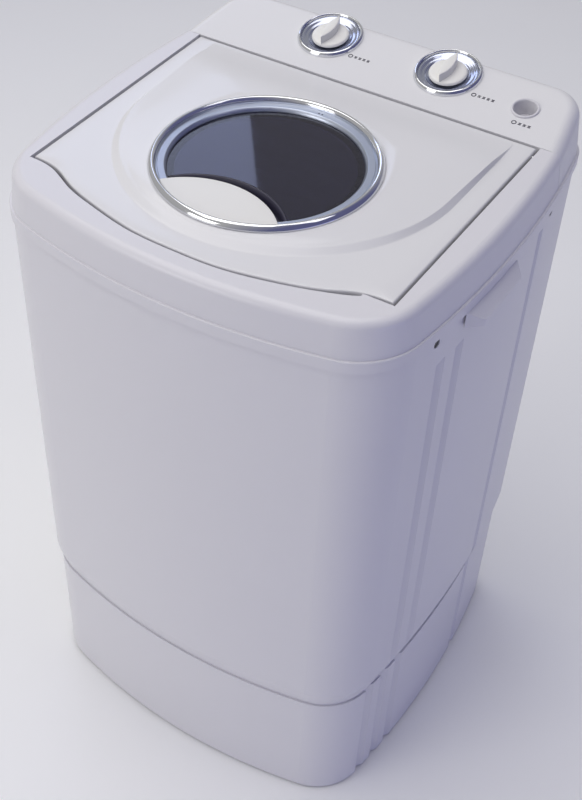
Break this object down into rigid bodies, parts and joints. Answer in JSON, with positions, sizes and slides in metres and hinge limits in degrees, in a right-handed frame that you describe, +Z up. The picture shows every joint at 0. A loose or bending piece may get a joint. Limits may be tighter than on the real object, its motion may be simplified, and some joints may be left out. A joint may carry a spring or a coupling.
{
  "type": "portable mini washer",
  "caption": "Compact single-tub washer with a hinged lid, round tinted window, wash and drain dials on a raised rear panel, and a belt-driven pulsator.",
  "frame": {"origin": "on the floor under the middle of the body", "axes": "+Z up, -Y towards the front, +X to the right as seen from the front"},
  "size_m": [0.4184, 0.3899, 0.6591],
  "materials": {
    "white_shell": "satin moulded",
    "panel_shell": "satin moulded",
    "lid_skin": "gloss moulded",
    "chrome_trim": "bright plated",
    "bezel_silver": "silver paint",
    "tinted_window": "clear tinted",
    "grip_white": "satin moulded",
    "pocket_dark": "fine grain",
    "dial_silver": "soft plated",
    "knob_white": "satin moulded",
    "inlet_white": "satin moulded",
    "tub_white": "gloss moulded",
    "pulsator_blue": "gloss moulded",
    "grey_rubber": "matt",
    "filter_blue": "fine grain",
    "inner_plastic": "natural moulded",
    "black_plastic": "fine grain",
    "zinc_steel": "zinc plated",
    "dark_screw": "black oxide",
    "galvanised": "galvanised",
    "shaft_steel": "ground",
    "bronze": "sintered",
    "pulley_alloy": "die cast",
    "motor_paint": "enamel",
    "stator_iron": "varnished",
    "hose_grey": "smooth",
    "gland_black": "matt"
  },
  "bodies": {
    "cabinet": {"base_plinth": "white_shell", "feet": "grey_rubber", "cabinet_shell": "white_shell", "rear_cover": "white_shell", "rear_cover_screws": "zinc_steel", "side_screws": "dark_screw", "top_deck": "white_shell", "lid_bumpers": "grey_rubber", "control_panel": "panel_shell", "carry_handles": "white_shell", "inlet_cup": "inlet_white", "inlet_hose": "hose_grey", "wash_timer": "black_plastic", "drain_selector": "inner_plastic", "wash_tub": "tub_white", "tub_gasket": "grey_rubber", "lint_filter": "filter_blue", "drain_grille": "inner_plastic", "drive_belt": "grey_rubber", "bearing_housing": "inner_plastic", "shaft_bushes": "bronze", "shaft_seal": "grey_rubber", "motor_bracket": "galvanised", "motor_housing": "motor_paint", "motor_cap": "motor_paint", "motor_mounts": "grey_rubber", "bracket_screws": "zinc_steel", "motor_stator": "stator_iron", "motor_capacitor": "black_plastic", "drain_valve_box": "inner_plastic", "drain_valve_cap": "inner_plastic", "drain_valve_spring": "shaft_steel", "drain_hose": "hose_grey", "drain_outlet": "inner_plastic", "cord_gland": "gland_black", "dial_cups": "dial_silver", "wash_dial_ring": "chrome_trim", "drain_dial_ring": "chrome_trim"},
    "lid": {"lid_panel": "lid_skin", "lid_hinge_pins": "shaft_steel", "lid_trim_ring": "chrome_trim", "lid_bezel": "bezel_silver", "lid_window": "tinted_window", "lid_grip_pocket": "pocket_dark", "lid_grip": "grip_white", "lid_liner": "inner_plastic"},
    "wash_dial": {"wash_knob": "knob_white", "wash_timer_shaft": "shaft_steel"},
    "drain_dial": {"drain_knob": "knob_white", "drain_cam_shaft": "black_plastic"},
    "drain_lift": {"drain_plunger": "grey_rubber", "drain_pull_rod": "zinc_steel"},
    "agitator": {"pulsator": "pulsator_blue", "pulsator_screw": "zinc_steel", "drive_shaft": "shaft_steel", "large_pulley": "pulley_alloy", "pulley_nut": "zinc_steel"},
    "motor_drive": {"motor_rotor": "shaft_steel", "motor_pulley": "pulley_alloy", "motor_fan": "black_plastic"}
  },
  "joints": [
    {"name": "lid_hinge", "type": "hinge", "parent": "cabinet", "child": "lid", "pos_m": [0, 0.1, 0.63], "axis": [-1, 0, 0], "range_deg": [0, 97]},
    {"name": "wash_turn", "type": "hinge", "parent": "cabinet", "child": "wash_dial", "pos_m": [-0.0592, 0.1574, 0.64536], "axis": [0, 0.1908, -0.9816], "range_deg": [0, 300]},
    {"name": "drain_turn", "type": "hinge", "parent": "cabinet", "child": "drain_dial", "pos_m": [0.0592, 0.1574, 0.64536], "axis": [0, -0.1908, 0.9816], "range_deg": [0, 90]},
    {"name": "drain_lift_slide", "type": "slide", "parent": "cabinet", "child": "drain_lift", "axis": [0, 0, 1], "range_m": [0, 0.01], "deforming": ["drain_valve_spring"]},
    {"name": "pulsator_spin", "type": "hinge", "parent": "cabinet", "child": "agitator", "pos_m": [0, -0.035, 0.2], "axis": [0, 0, 1], "continuous": true},
    {"name": "motor_spin", "type": "hinge", "parent": "cabinet", "child": "motor_drive", "pos_m": [0, 0.1, 0.1], "axis": [0, 0, 1], "continuous": true}
  ],
  "couplings": [
    {"joint": "drain_turn", "follows": "drain_lift_slide", "rad_per_m": 157.08},
    {"joint": "motor_spin", "follows": "pulsator_spin", "ratio": 3.2747}
  ]
}
